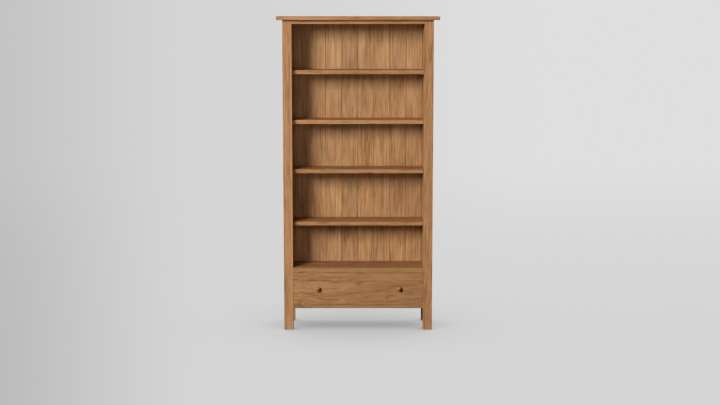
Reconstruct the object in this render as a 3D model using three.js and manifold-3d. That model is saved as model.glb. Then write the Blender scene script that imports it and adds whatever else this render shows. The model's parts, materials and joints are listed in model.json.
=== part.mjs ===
// A tall oak bookcase: four posts, panelled sides, a back of tongued boards, four loose shelves on
// pins, a fixed bottom shelf and one wide drawer under it that opens forward.
// Millimetres, +Z up, +Y to the back. The origin is on the floor, midway across the width and
// midway between the top board's front and back edges.
import * as THREE from "three";
import { mergeVertices } from "three/addons/utils/BufferGeometryUtils.js";
import Module from "manifold-3d";

const wasm = await Module();
wasm.setup();

// Whole carcass, measured over the posts
const height = 1800;
const bodyWidth = 854;
const bodyDepth = 270;

// Top board
const topThickness = 20;
const topSideOverhang = 33;
const topFrontOverhang = 30;
const topEase = 2.5;

// Posts, which run down to the floor as legs
const postWidth = 52;
const frontPostDepth = 50;
const rearPostDepth = 30;
const arris = 0.8; // small chamfer that takes the sharpness off a board's edges

// Joinery
const glueGap = 0.25; // clearance round a glued tenon, tongue or housed edge
const frontTenonLength = 15;
const frontTenonThickness = 10;
const frontTenonSetback = 6; // from a front rail's face to its tenon
const tenonShoulder = 4; // from a rail's top or bottom edge to its tenon
const sideTenonLength = 10;
const sideTenonThickness = 12;
const tenonWall = 3; // wood left between two tenons in one post

// Rails across the front
const topRailHeight = 22;
const frontRailDepth = 22;
const drawerRailHeight = 28;
const plinthRailHeight = 20;
const plinthRailDepth = 45;
const legHeight = 127; // floor to the underside of the lowest rails

// Sides: two rails and a panel, flush with the posts on the inside
const sideRailHeight = 50;
const sideRailThickness = 30;
const panelThickness = 18;
const tongueThickness = 8;
const tongueSetback = 5; // from a panel's inner face to its tongue
const tongueLength = 7;

// Back: upright tongued and grooved boards in front of three rails
const backBoardCount = 8;
const backBoardThickness = 12;
const backTongueThickness = 4;
const backTongueLength = 6;
const backSeam = 0.5; // open joint at the foot of each V
const vGroove = 3;
const backRailHeight = 50;

// Shelves
const shelfThickness = 22;
const shelfSetback = 38; // from the posts' front faces to a loose shelf's front edge
const shelfEndGap = 1;
const shelfBackGap = 0.3;
const bottomShelfRise = 237; // from the underside of the plinth rail to the top of the fixed shelf
const housingDepth = 5; // how far the fixed shelf is let into each side
const holeSteps = [0, 0, 0, -1]; // holes up or down from an even spacing, one for each loose shelf

// Shelf pins and the rows of holes that they fit
const pinShankRadius = 2.5;
const pinHeadRadius = 3.25;
const pinShankLength = 10;
const pinHeadLength = 9;
const pinSides = 12;
const holePitch = 20;
const spareHoles = 1; // free holes above and below the one in use
const holeGap = 0.2;
const holeExtraDepth = 1;
const pinInset = 38; // from a loose shelf's front and back edges to its pins
const seatGap = 0.2; // running or resting clearance under a loose piece

// Drawer
const drawerGap = 1; // shown round the drawer front
const drawerFrontThickness = 20;
const drawerSideThickness = 12;
const drawerHeadGap = 4; // over the sides, under the rail
const drawerSideGap = 1;
const drawerRearGap = 13; // from the sides' rear ends to the back boards
const drawerBackThickness = 12;
const drawerBackDrop = 10; // the back's top edge below the sides'
const drawerBackInset = 4; // from the sides' rear ends to the back
const drawerBottomThickness = 6;
const drawerBottomRise = 10; // from the sides' lower edges to the bottom board
const drawerGrooveDepth = 5;
const dovetailLap = 8; // wood in front of the tails, so that they don't show in the closed drawer
const dovetailCount = 3;
const dovetailShare = 0.58; // share of each pitch that a tail's root fills
const dovetailFlare = 2; // how far each flank spreads from a tail's root to its tip
const runnerWidth = 25;
const runnerHeight = 20;
const stopWidth = 40;
const stopLength = 20;
const stopHeight = 6;
const stopInset = 125; // from the inside of the posts to the middle of each stop
const stopGap = 0.3;
const catchWidth = 60;
const catchThickness = 12;
const catchHeight = 50;
const catchTopGap = 2; // under the fixed shelf

// Knobs and their screws
const knobInset = 141; // from the inside of the posts to the middle of each knob
const knobRise = 2; // over the middle of the drawer front
const knobProjection = 28;
const knobRadius = 13.5;
const knobWaistRadius = 6;
const knobFootRadius = 8.5;
const knobFootHeight = 3;
const knobCoveHeight = 13; // from the drawer front to the top of the hollow under the head
const knobRimHeight = 20;
const knobSides = 24;
const knobCurveSteps = 4;
const screwRadius = 2;
const screwHeadRadius = 4.2;
const screwHeadHeight = 2.4;
const screwBite = 13; // length in the knob
const screwGap = 0.2;
const screwEndGap = 1;
const screwSides = 12;

const cutOverrun = 4; // how far a cutter stands out of the wood, so that the cut is clean
const meshTolerance = 1e-4;

// Planes that several pieces share. X and Z are the origin's; Y is counted from the posts' front faces.
const bodyHalf = bodyWidth / 2;
const insideHalf = bodyHalf - postWidth;
const postTop = height - topThickness;
const bottomShelfTop = legHeight + bottomShelfRise;
const rearPostFace = bodyDepth - rearPostDepth;
const backBoardFace = rearPostFace - backBoardThickness;
const sideRailBottoms = [legHeight, postTop - sideRailHeight];
const panelZ = [legHeight + sideRailHeight, postTop - sideRailHeight];
const panelY = [frontPostDepth, rearPostFace];
const tongueX = [insideHalf + tongueSetback, insideHalf + tongueSetback + tongueThickness];
const plinthTop = legHeight + plinthRailHeight;
const drawerRailZ = [bottomShelfTop - drawerRailHeight, bottomShelfTop];
const bayPitch = (postTop - bottomShelfTop) / (holeSteps.length + 1);
const pinRowsY = [shelfSetback + pinInset, backBoardFace - shelfBackGap - pinInset];

const oak = { color: 0xb48a5e, roughness: 0.62, metalness: 0 };
const oakLight = { color: 0xc19a6d, roughness: 0.6, metalness: 0 };
const oakBack = { color: 0xad8256, roughness: 0.66, metalness: 0 };
const drawerWood = { color: 0xc9a67c, roughness: 0.68, metalness: 0 };
const steel = { color: 0xb9bbbd, roughness: 0.32, metalness: 1 };

// Ranges of a coordinate, low end first
const grow = ([low, high], by) => [low - by, high + by];
const onSide = (side, inner, outer) => (side > 0 ? [inner, outer] : [-outer, -inner]);
const span = ([low, high]) => high - low;
const middle = ([low, high]) => (low + high) / 2;

// A closed three.js geometry as a solid that can be joined and cut.
function solidFrom(geometry) {
  const bare = geometry.clone();
  bare.deleteAttribute("normal");
  bare.deleteAttribute("uv");
  const merged = mergeVertices(bare, meshTolerance);
  return new wasm.Manifold(
    new wasm.Mesh({
      numProp: 3,
      vertProperties: merged.attributes.position.array,
      triVerts: new Uint32Array(merged.index.array),
    }),
  );
}

function geometryFrom(solid) {
  const mesh = solid.getMesh();
  const geometry = new THREE.BufferGeometry();
  geometry.setAttribute("position", new THREE.BufferAttribute(mesh.vertProperties, 3));
  geometry.setIndex(new THREE.BufferAttribute(mesh.triVerts, 1));
  geometry.computeVertexNormals();
  return geometry;
}

// A block that fills three ranges.
function block(x, y, z) {
  const box = new THREE.BoxGeometry(span(x), span(y), span(z));
  return solidFrom(box.translate(middle(x), middle(y), middle(z)));
}

// A block whose twelve edges have a small chamfer.
function easedBlock(x, y, z, ease) {
  const flatX = span(x) / 2 - ease;
  const flatY = span(y) / 2 - ease;
  const corner = ease * (Math.SQRT2 - 1);
  const outline = new THREE.Shape([
    new THREE.Vector2(-flatX + corner, -flatY),
    new THREE.Vector2(flatX - corner, -flatY),
    new THREE.Vector2(flatX, -flatY + corner),
    new THREE.Vector2(flatX, flatY - corner),
    new THREE.Vector2(flatX - corner, flatY),
    new THREE.Vector2(-flatX + corner, flatY),
    new THREE.Vector2(-flatX, flatY - corner),
    new THREE.Vector2(-flatX, -flatY + corner),
  ]);
  const board = new THREE.ExtrudeGeometry(outline, {
    depth: span(z) - 2 * ease,
    bevelThickness: ease,
    bevelSize: ease,
    bevelSegments: 1,
  });
  return solidFrom(board.translate(middle(x), middle(y), z[0] + ease));
}

// An outline of [x, y] points carried up through z.
function extrudeZ(points, z) {
  const outline = new THREE.Shape(points.map(([x, y]) => new THREE.Vector2(x, y)));
  const prism = new THREE.ExtrudeGeometry(outline, { depth: span(z), bevelEnabled: false });
  return solidFrom(prism.translate(0, 0, z[0]));
}

// An outline of [y, z] points carried across through x.
function extrudeX(points, x) {
  const outline = new THREE.Shape(points.map(([y, z]) => new THREE.Vector2(y, z)));
  const prism = new THREE.ExtrudeGeometry(outline, { depth: span(x), bevelEnabled: false });
  const yzx = new THREE.Matrix4().makeBasis(
    new THREE.Vector3(0, 1, 0),
    new THREE.Vector3(0, 0, 1),
    new THREE.Vector3(1, 0, 0),
  );
  return solidFrom(prism.applyMatrix4(yzx).translate(x[0], 0, 0));
}

// A turned piece: [radius, distance along the axis] points, with its axis on Y.
function turned(points, sides) {
  const profile = points.map(([radius, along]) => new THREE.Vector2(radius, along));
  return new THREE.LatheGeometry(profile, sides);
}

// A round cutter on an axis along X or Y, its round wall lined up with a turned piece's.
function roundCutter(radius, range, sides) {
  const [low, high] = range;
  return turned([[0, low], [radius, low], [radius, high], [0, high]], sides);
}

const cut = (body, cutters) => cutters.reduce((left, cutter) => left.subtract(cutter), body);
const join = (bodies) => bodies.reduce((whole, body) => whole.add(body));

// A named piece. Its own origin is at anchor, and so is its place in the group.
function piece(group, name, geometry, finish, anchor = [0, 0, 0]) {
  const mesh = new THREE.Mesh(
    geometry.translate(-anchor[0], -anchor[1], -anchor[2]),
    new THREE.MeshStandardMaterial(finish),
  );
  mesh.name = name;
  mesh.position.set(...anchor);
  group.add(mesh);
  return mesh;
}

// Tenons and tongues, each as three ranges. The piece that has one is joined to it, and its
// neighbour is cut by it, grown by the glue gap.
const grownBlock = (ranges) => block(...ranges.map((range) => grow(range, glueGap)));

function frontRailTenon(side, z) {
  return [
    onSide(side, insideHalf, insideHalf + frontTenonLength),
    [frontTenonSetback, frontTenonSetback + frontTenonThickness],
    grow(z, -tenonShoulder),
  ];
}

function backRailTenon(side, z) {
  const front = rearPostFace + sideTenonLength + tenonWall;
  return [
    onSide(side, insideHalf, insideHalf + frontTenonLength),
    [front, front + frontTenonThickness],
    grow(z, -tenonShoulder),
  ];
}

// The tenons at both ends of a side rail, as one bar through it.
function sideRailTenons(side, bottom) {
  const inner = insideHalf + (sideRailThickness - sideTenonThickness) / 2;
  return [
    onSide(side, inner, inner + sideTenonThickness),
    grow(panelY, sideTenonLength),
    grow([bottom, bottom + sideRailHeight], -tenonShoulder - tongueLength),
  ];
}

// The tongue all round a side panel, as one thin plate through it.
function panelTongue(side) {
  return [onSide(side, ...tongueX), grow(panelY, tongueLength), grow(panelZ, tongueLength)];
}

// Front rails, from the top down: name, depth from front to back, and height range
const frontRails = [
  ["top_front_rail", frontRailDepth, [postTop - topRailHeight, postTop]],
  ["drawer_top_rail", frontRailDepth, drawerRailZ],
  ["plinth_rail", plinthRailDepth, [legHeight, plinthTop]],
];

const middleBackRailBottom = (postTop + legHeight - backRailHeight) / 2;
const backRails = [
  ["top_back_rail", [postTop - backRailHeight, postTop]],
  ["middle_back_rail", [middleBackRailBottom, middleBackRailBottom + backRailHeight]],
  ["bottom_back_rail", [legHeight, legHeight + backRailHeight]],
];

const sides = [
  ["left", -1],
  ["right", 1],
];

function addTop(group) {
  const board = easedBlock(
    [-bodyHalf - topSideOverhang, bodyHalf + topSideOverhang],
    [-topFrontOverhang, bodyDepth],
    [postTop, height],
    topEase,
  );
  piece(group, "top_board", geometryFrom(board), oakLight, [0, 0, postTop]);
}

function addPosts(group) {
  for (const [label, side] of sides) {
    const postX = onSide(side, insideHalf, bodyHalf);
    const sideJoints = [panelTongue(side), ...sideRailBottoms.map((z) => sideRailTenons(side, z))];
    const frontJoints = frontRails.map(([, , z]) => frontRailTenon(side, z));
    const backJoints = backRails.map(([, z]) => backRailTenon(side, z));
    const front = cut(
      easedBlock(postX, [0, frontPostDepth], [0, postTop], arris),
      [...sideJoints, ...frontJoints].map((joint) => grownBlock(joint)),
    );
    const rear = cut(
      easedBlock(postX, [rearPostFace, bodyDepth], [0, postTop], arris),
      [...sideJoints, ...backJoints].map((joint) => grownBlock(joint)),
    );
    const x = side * (bodyHalf - postWidth / 2);
    const rearY = bodyDepth - rearPostDepth / 2;
    piece(group, `front_${label}_post`, geometryFrom(front), oak, [x, frontPostDepth / 2, 0]);
    piece(group, `rear_${label}_post`, geometryFrom(rear), oak, [x, rearY, 0]);
  }
}

function addFrontRails(group) {
  for (const [name, depth, z] of frontRails) {
    const tenons = sides.map(([, side]) => block(...frontRailTenon(side, z)));
    const rail = easedBlock([-insideHalf, insideHalf], [0, depth], z, arris);
    piece(group, name, geometryFrom(join([rail, ...tenons])), oakLight, [0, 0, z[0]]);
  }
}

function addBackRails(group) {
  for (const [name, z] of backRails) {
    const tenons = sides.map(([, side]) => block(...backRailTenon(side, z)));
    const rail = easedBlock([-insideHalf, insideHalf], [rearPostFace, bodyDepth], z, arris);
    piece(group, name, geometryFrom(join([rail, ...tenons])), oak, [0, bodyDepth, z[0]]);
  }
}

function addSides(group) {
  for (const [label, side] of sides) {
    const railX = onSide(side, insideHalf, insideHalf + sideRailThickness);
    const anchor = [side * insideHalf, frontPostDepth];
    ["bottom", "top"].forEach((level, i) => {
      const z = [sideRailBottoms[i], sideRailBottoms[i] + sideRailHeight];
      const rail = join([
        easedBlock(railX, panelY, z, arris),
        block(...sideRailTenons(side, sideRailBottoms[i])),
      ]);
      const grooved = rail.subtract(grownBlock(panelTongue(side)));
      piece(group, `${label}_${level}_side_rail`, geometryFrom(grooved), oak, [...anchor, z[0]]);
    });
    const panel = join([
      block(onSide(side, insideHalf, insideHalf + panelThickness), panelY, panelZ),
      block(...panelTongue(side)),
    ]);
    const fitted = cut(panel, [grownBlock(fixedShelfEnd(side)), ...pinHoles(side)]);
    piece(group, `${label}_side_panel`, geometryFrom(fitted), oak, [...anchor, panelZ[0]]);
  }
}

// Loose shelves are numbered from the top. Their heights, and those of the pins under them:
const looseShelves = holeSteps.map((_, i) => i + 1);
const shelfTop = (shelf) => postTop - shelf * bayPitch + holeSteps[shelf - 1] * holePitch;
const pinZ = (shelf) => shelfTop(shelf) - shelfThickness - seatGap - pinHeadRadius;

// The holes in one side, with spare ones above and below each pin.
function pinHoles(side) {
  const depth = pinShankLength + holeExtraDepth;
  const range = onSide(side, insideHalf - cutOverrun, insideHalf + depth);
  const holes = [];
  for (const shelf of looseShelves) {
    for (let step = -spareHoles; step <= spareHoles; step++) {
      for (const y of pinRowsY) {
        const drill = roundCutter(pinShankRadius + holeGap, range, pinSides);
        drill.rotateZ(-Math.PI / 2);
        drill.translate(0, y, pinZ(shelf) + step * holePitch);
        holes.push(solidFrom(drill));
      }
    }
  }
  return holes;
}

// The end of the fixed shelf that is let into a side, behind the front post.
function fixedShelfEnd(side) {
  return [
    onSide(side, insideHalf, insideHalf + housingDepth),
    [frontPostDepth + glueGap, backBoardFace],
    [bottomShelfTop - shelfThickness, bottomShelfTop],
  ];
}

function addBack(group) {
  const pitch = (2 * insideHalf - backSeam) / backBoardCount;
  const tongueY = [
    backBoardFace + (backBoardThickness - backTongueThickness) / 2,
    backBoardFace + (backBoardThickness + backTongueThickness) / 2,
  ];
  const grooveY = grow(tongueY, glueGap);
  const face = backBoardFace;
  const rear = rearPostFace;
  for (let i = 0; i < backBoardCount; i++) {
    const left = -insideHalf + backSeam + i * pitch;
    const right = left + pitch - backSeam;
    const tongue = [
      [right, tongueY[0]],
      [right + backTongueLength, tongueY[0]],
      [right + backTongueLength, tongueY[1]],
      [right, tongueY[1]],
    ];
    const groove = [
      [left, grooveY[1]],
      [left + backTongueLength, grooveY[1]],
      [left + backTongueLength, grooveY[0]],
      [left, grooveY[0]],
    ];
    const outline = [
      [left + vGroove, face],
      [right - vGroove, face],
      [right, face + vGroove],
      ...(i < backBoardCount - 1 ? tongue : []),
      [right, rear],
      [left, rear],
      ...groove,
      [left, face + vGroove],
    ];
    const board = extrudeZ(outline, [plinthTop, postTop]);
    piece(group, `back_board_${i + 1}`, geometryFrom(board), oakBack, [left, face, plinthTop]);
  }
}

function addShelves(group) {
  const z = [bottomShelfTop - shelfThickness, bottomShelfTop];
  const middleBoard = block([-insideHalf, insideHalf], [frontRailDepth, backBoardFace], z);
  const fixed = join([middleBoard, ...sides.map(([, side]) => block(...fixedShelfEnd(side)))]);
  piece(group, "bottom_shelf", geometryFrom(fixed), oakLight, [0, frontRailDepth, z[0]]);

  for (const shelf of looseShelves) {
    const top = shelfTop(shelf);
    const board = easedBlock(
      [-insideHalf + shelfEndGap, insideHalf - shelfEndGap],
      [shelfSetback, backBoardFace - shelfBackGap],
      [top - shelfThickness, top],
      arris,
    );
    const anchor = [0, shelfSetback, top - shelfThickness];
    piece(group, `shelf_${shelf}`, geometryFrom(board), oakLight, anchor);
  }
}

function addShelfPins(group) {
  const profile = [
    [0, -pinShankLength],
    [pinShankRadius, -pinShankLength],
    [pinShankRadius, 0],
    [pinHeadRadius, 0],
    [pinHeadRadius, pinHeadLength],
    [0, pinHeadLength],
  ];
  for (const shelf of looseShelves) {
    for (const [label, side] of sides) {
      ["front", "rear"].forEach((row, i) => {
        const name = `shelf_${shelf}_${row}_${label}_pin`;
        const pin = piece(group, name, turned(profile, pinSides), steel);
        pin.rotation.z = (side * Math.PI) / 2;
        pin.position.set(side * insideHalf, pinRowsY[i], pinZ(shelf));
      });
    }
  }
}

// The runners that carry the drawer, and the blocks that stop its front flush with the posts.
function addDrawerBay(group) {
  for (const [label, side] of sides) {
    const runner = block(
      onSide(side, insideHalf - runnerWidth, insideHalf),
      [plinthRailDepth, backBoardFace],
      [plinthTop - runnerHeight, plinthTop],
    );
    const runnerAnchor = [side * insideHalf, plinthRailDepth, plinthTop];
    piece(group, `${label}_drawer_runner`, geometryFrom(runner), drawerWood, runnerAnchor);

    const stopX = side * (insideHalf - stopInset);
    const stopY = drawerFrontThickness + stopGap;
    const stop = block(
      [stopX - stopWidth / 2, stopX + stopWidth / 2],
      [stopY, stopY + stopLength],
      [plinthTop, plinthTop + stopHeight],
    );
    piece(group, `${label}_drawer_stop`, geometryFrom(stop), drawerWood, [stopX, stopY, plinthTop]);
  }
}

// Drawer planes, with the drawer closed
const drawerHalf = insideHalf - drawerGap;
const drawerFrontZ = [plinthTop + drawerGap, drawerRailZ[0] - drawerGap];
const drawerRear = backBoardFace - drawerRearGap;
const drawerSideZ = [plinthTop + seatGap, drawerRailZ[0] - drawerHeadGap];
const drawerBottomLow = drawerSideZ[0] + drawerBottomRise;
const drawerBottomZ = [drawerBottomLow, drawerBottomLow + drawerBottomThickness];
const drawerBackRear = drawerRear - drawerBackInset;
const drawerBackY = [drawerBackRear - drawerBackThickness, drawerBackRear];
const drawerOutsideHalf = insideHalf - drawerSideGap;
const drawerInsideHalf = drawerOutsideHalf - drawerSideThickness;
const knobZ = middle(drawerFrontZ) + knobRise;

const drawerBottom = [
  grow([-drawerInsideHalf, drawerInsideHalf], drawerGrooveDepth),
  [drawerFrontThickness - drawerGrooveDepth, drawerBackRear],
  drawerBottomZ,
];
const drawerBack = [
  grow([-drawerInsideHalf, drawerInsideHalf], drawerGrooveDepth),
  drawerBackY,
  [drawerBottomZ[1] + seatGap, drawerSideZ[1] - drawerBackDrop],
];

// The tails on a drawer side's front end, grown by gap where they are cut out of the drawer front.
function dovetails(side, gap) {
  const low = Math.max(drawerSideZ[0], drawerFrontZ[0]);
  const pitch = (drawerSideZ[1] - low) / dovetailCount;
  const rootHalf = (pitch * dovetailShare) / 2 + gap;
  const tipHalf = rootHalf + dovetailFlare;
  const x = grow(onSide(side, drawerInsideHalf, drawerOutsideHalf), gap);
  const tails = [];
  for (let i = 0; i < dovetailCount; i++) {
    const centre = low + (i + 0.5) * pitch;
    const outline = [
      [drawerFrontThickness + gap, centre - rootHalf],
      [drawerFrontThickness + gap, centre + rootHalf],
      [dovetailLap - gap, centre + tipHalf],
      [dovetailLap - gap, centre - tipHalf],
    ];
    tails.push(extrudeX(outline, x));
  }
  return tails;
}

function knobScrewHole(x) {
  const range = grow([0, drawerFrontThickness], cutOverrun);
  const bore = roundCutter(screwRadius + screwGap, range, screwSides);
  return solidFrom(bore.translate(x, 0, knobZ));
}

function addDrawer(group) {
  const knobs = sides.map(([label, side]) => [label, side * (insideHalf - knobInset)]);
  const front = cut(easedBlock([-drawerHalf, drawerHalf], [0, drawerFrontThickness], drawerFrontZ, arris), [
    grownBlock(drawerBottom),
    ...sides.flatMap(([, side]) => dovetails(side, glueGap)),
    ...knobs.map(([, x]) => knobScrewHole(x)),
  ]);
  piece(group, "drawer_front", geometryFrom(front), oakLight, [0, 0, drawerFrontZ[0]]);

  for (const [label, side] of sides) {
    const x = onSide(side, drawerInsideHalf, drawerOutsideHalf);
    const blank = block(x, [drawerFrontThickness, drawerRear], drawerSideZ);
    const grooves = [grownBlock(drawerBottom), grownBlock(drawerBack)];
    const board = cut(join([blank, ...dovetails(side, 0)]), grooves);
    const anchor = [side * drawerInsideHalf, drawerFrontThickness, drawerSideZ[0]];
    piece(group, `${label}_drawer_side`, geometryFrom(board), drawerWood, anchor);
  }
  const backAnchor = [0, drawerBackY[0], drawerBack[2][0]];
  piece(group, "drawer_back", geometryFrom(block(...drawerBack)), drawerWood, backAnchor);
  const bottomAnchor = [0, drawerBottom[1][0], drawerBottomZ[0]];
  piece(group, "drawer_bottom", geometryFrom(block(...drawerBottom)), drawerWood, bottomAnchor);
  addDrawerCatch(group);

  for (const [label, x] of knobs) {
    addKnob(group, label, x);
  }
}

// The block on the drawer back that meets the rail over the drawer when it is fully open.
function addDrawerCatch(group) {
  const top = bottomShelfTop - shelfThickness - catchTopGap;
  const catchBlock = block(
    [-catchWidth / 2, catchWidth / 2],
    [drawerBackY[0] - catchThickness, drawerBackY[0]],
    [top - catchHeight, top],
  );
  piece(group, "drawer_catch", geometryFrom(catchBlock), drawerWood, [0, drawerBackY[0], top]);
}

// A knob's outline: a foot, a hollow neck, the rounded underside of the head and its domed face.
function knobProfile() {
  const cove = new THREE.QuadraticBezierCurve(
    new THREE.Vector2(knobFootRadius, knobFootHeight),
    new THREE.Vector2(2 * knobWaistRadius - knobFootRadius, (knobFootHeight + knobCoveHeight) / 2),
    new THREE.Vector2(knobFootRadius, knobCoveHeight),
  );
  const underReach = knobRadius - knobFootRadius;
  const underRise = knobRimHeight - knobCoveHeight;
  const faceRise = knobProjection - knobRimHeight;
  const quarter = Math.PI / 2;
  const under = new THREE.EllipseCurve(knobFootRadius, knobRimHeight, underReach, underRise, -quarter, 0);
  const face = new THREE.EllipseCurve(0, knobRimHeight, knobRadius, faceRise, 0, quarter);
  const curves = [cove, under, face].flatMap((curve) => curve.getPoints(knobCurveSteps).slice(0, -1));
  return [[0, 0], [knobFootRadius, 0], ...curves.map(({ x, y }) => [x, y]), [0, knobProjection]];
}

// A turned knob, and the screw that holds it from inside the drawer.
function addKnob(group, label, x) {
  const bore = roundCutter(screwRadius + screwGap, [-cutOverrun, screwBite + screwEndGap], screwSides);
  const body = solidFrom(turned(knobProfile(), knobSides)).subtract(solidFrom(bore));
  const knob = piece(group, `${label}_knob`, geometryFrom(body), oak);
  knob.rotation.x = Math.PI;
  knob.position.set(x, 0, knobZ);

  const screwProfile = [
    [0, -screwBite],
    [screwRadius, -screwBite],
    [screwRadius, drawerFrontThickness],
    [screwHeadRadius, drawerFrontThickness],
    [screwHeadRadius, drawerFrontThickness + screwHeadHeight],
    [0, drawerFrontThickness + screwHeadHeight],
  ];
  const screw = piece(group, `${label}_knob_screw`, turned(screwProfile, screwSides), steel);
  screw.position.set(x, 0, knobZ);
}

const carcass = new THREE.Group();
addTop(carcass);
addPosts(carcass);
addFrontRails(carcass);
addBackRails(carcass);
addSides(carcass);
addBack(carcass);
addShelves(carcass);
addShelfPins(carcass);
addDrawerBay(carcass);

const drawer = new THREE.Group();
addDrawer(drawer);

const bookcase = new THREE.Group();
bookcase.add(carcass, drawer);
bookcase.position.y = topFrontOverhang - (topFrontOverhang + bodyDepth) / 2;

export default bookcase;
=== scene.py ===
# A tall oak bookcase with one wide drawer, dressed for the studio: every board is planed and eased
# as its own piece, in the place of the CAD node of the same name, and given its own cut of the log.
# Metres, +Z up, the front towards -Y.
import json
import math

import bpy
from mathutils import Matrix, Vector

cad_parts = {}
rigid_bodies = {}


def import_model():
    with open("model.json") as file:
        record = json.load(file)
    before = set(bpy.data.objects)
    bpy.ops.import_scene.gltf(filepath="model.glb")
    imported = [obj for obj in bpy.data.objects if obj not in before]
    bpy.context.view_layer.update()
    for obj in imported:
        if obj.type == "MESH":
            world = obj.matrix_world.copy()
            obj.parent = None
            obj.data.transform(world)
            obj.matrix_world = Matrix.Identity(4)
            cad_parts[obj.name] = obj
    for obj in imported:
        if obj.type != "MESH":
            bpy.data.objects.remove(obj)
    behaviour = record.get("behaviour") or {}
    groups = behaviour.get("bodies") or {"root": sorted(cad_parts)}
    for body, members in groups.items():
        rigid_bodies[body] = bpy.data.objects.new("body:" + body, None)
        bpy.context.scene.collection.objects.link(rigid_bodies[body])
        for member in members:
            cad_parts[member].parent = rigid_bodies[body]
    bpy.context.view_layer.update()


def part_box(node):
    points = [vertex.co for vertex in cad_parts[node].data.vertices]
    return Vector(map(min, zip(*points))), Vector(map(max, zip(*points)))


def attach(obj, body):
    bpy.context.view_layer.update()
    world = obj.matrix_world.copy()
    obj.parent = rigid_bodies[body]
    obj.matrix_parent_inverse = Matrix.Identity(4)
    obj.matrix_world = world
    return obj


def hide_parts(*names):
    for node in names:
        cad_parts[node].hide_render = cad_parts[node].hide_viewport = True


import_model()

MM = 0.001

# The camera stands a little right of the middle, level with the top of the case, and looks down
CAMERA_PLACE = (0.01093, -7.93201, 1.83359)
CAMERA_TILT = 7.9378
CAMERA_LENS = 68.9056
SENSOR_WIDTH = 36

# Softboxes: where each stands, the length of its side and its power. All aim at the middle of the case
KEY_BOX = (-4.35, -7.25, 4.04), 2.9, 747
REAR_BOX = (3.0, 4.6, 5.6), 3.2, 350
SIDE_BOX = (6.0, 1.6, 1.0), 1.7, 160
FRONT_BOX = (0.4, -8.6, 1.9), 4.0, 105
BOX_AIM = Vector((0, 0, 0.9))
WHITE = (1.0, 1.0, 1.0)
WARM = (1.0, 0.91, 0.81)

# Light from the room, weaker than from its pale floor, and the heights that it changes between
ROOM_LIGHT = 0.05
FLOOR_LIGHT = 0.12
HORIZON_TO_FLOOR = (0.0, -0.15)

# The backdrop's glow, the share of it that is left at the left edge, what that share gains at the far
# end, and what the glow gains on the far right. Left and right are slopes seen from a lamp that stands
# so far in front of the middle of the floor, and the far and ahead ranges are places on Y
BACKDROP_GREY = 0.665
BACKDROP_EDGE = 0.74
BACKDROP_FAR_EDGE = 0.07
BACKDROP_FAR_RIGHT = 0.11
LAMP_DISTANCE = 7.9
LEFT_FALL = (-0.3, -0.1)
RIGHT_RISE = (-0.06, 0.14)
FAR_RANGE = (-0.5, 9.0)
AHEAD_RANGE = (-6.5, -2.0)

# The shade of the case on the floor
SHADE_REACH = 1.0
SHADE_DEPTH = 0.73
SHADE_SOFTNESS = 1.5

# The bowl of the stage
FLOOR_RADIUS = 12.0
COVE_RADIUS = 3.5
WALL_TOP = 6.0
STAGE_SIDES = 96
COVE_STEPS = 10

# How far the edges are rounded over
ARRIS = 1.2 * MM
TOP_ARRIS = 2.5 * MM
SMALL_ARRIS = 0.6 * MM
ROUND_STEPS = 3
SMOOTH_ANGLE = math.radians(40)

# How near two places count as one, how near two points are welded together, and how squarely a face
# that is picked out has to look along its axis
CLOSE = 1e-5
WELD = 1e-6
SQUARELY = 0.99

# Joints of the case. INSIDE is from its middle to the inner face of a side
INSIDE = 375 * MM
GLUE_GAP = 0.25 * MM
TENON_THICKNESS = 10 * MM
TENON_SHOULDER = 4 * MM
FRONT_TENON_INSET = 6 * MM
BACK_TENON_INSET = 13 * MM
SIDE_TENON_INSET = 9 * MM
SIDE_TENON_SHOULDER = 11 * MM
PANEL_THICKNESS = 18 * MM
PANEL_TONGUE_INSET = 5 * MM
PANEL_TONGUE_THICKNESS = 8 * MM
PANEL_TONGUE_LENGTH = 7 * MM
FRONT_RAILS = ("top_front_rail", "drawer_top_rail", "plinth_rail")
BACK_RAILS = ("top_back_rail", "middle_back_rail", "bottom_back_rail")
SIDES = (("left", -1), ("right", 1))

# Back boards
V_DEPTH = 3 * MM
V_SOFTENING = 0.4 * MM
TONGUE_LENGTH = 6 * MM
TONGUE_THICKNESS = 4 * MM
REAR_ARRIS = 0.8 * MM

# Shelf pins and their holes, and the numbers of the loose shelves that rest on them
PIN_HOLE_RADIUS = 2.7 * MM
PIN_HOLE_DEPTH = 11 * MM
PIN_HOLE_PITCH = 20 * MM
PIN_SHANK_RADIUS = 2.5 * MM
PIN_HEAD_LENGTH = 9 * MM
PIN_CHAMFER = 0.4 * MM
PIN_HEAD_CHAMFER = 0.3 * MM
PIN_ROUNDING = 0.7 * MM
PIN_ROUNDING_STEPS = 4
PIN_STEPS = 24
HOLE_STEPS = 24
SHELVES = range(1, 5)

# Drawer
TAIL_COUNT = 3
TAIL_SHARE = 0.58
TAIL_FLARE = 2 * MM
TAIL_LAP = 8 * MM

# Knobs and screws
KNOB_STEPS = 64
KNOB_CURVE_STEPS = 8
KNOB_FACE_STEPS = 12
KNOB_FOOT_RADIUS = 8.5 * MM
KNOB_FOOT_CHAMFER = 0.5 * MM
KNOB_FOOT_HEIGHT = 3 * MM
KNOB_WAIST_RADIUS = 6 * MM
KNOB_WAIST_HEIGHT = 6 * MM
KNOB_COVE_HEIGHT = 13 * MM
KNOB_RIM_HEIGHT = 20 * MM
SCREW_RADIUS = 2 * MM
SCREW_CLEARANCE = 0.2 * MM
SCREW_POINT = 1.5 * MM
SCREW_HEAD_HEIGHT = 2.4 * MM
SCREW_HEAD_RIM = 0.8 * MM
SCREW_HEAD_DOME = 1.6 * MM
SCREW_DOME_STEPS = 6
SCREW_SLOT_LENGTH = 5 * MM
SCREW_SLOT_WIDTH = 1 * MM
SCREW_SLOT_DEPTH = 1.2 * MM


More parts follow.
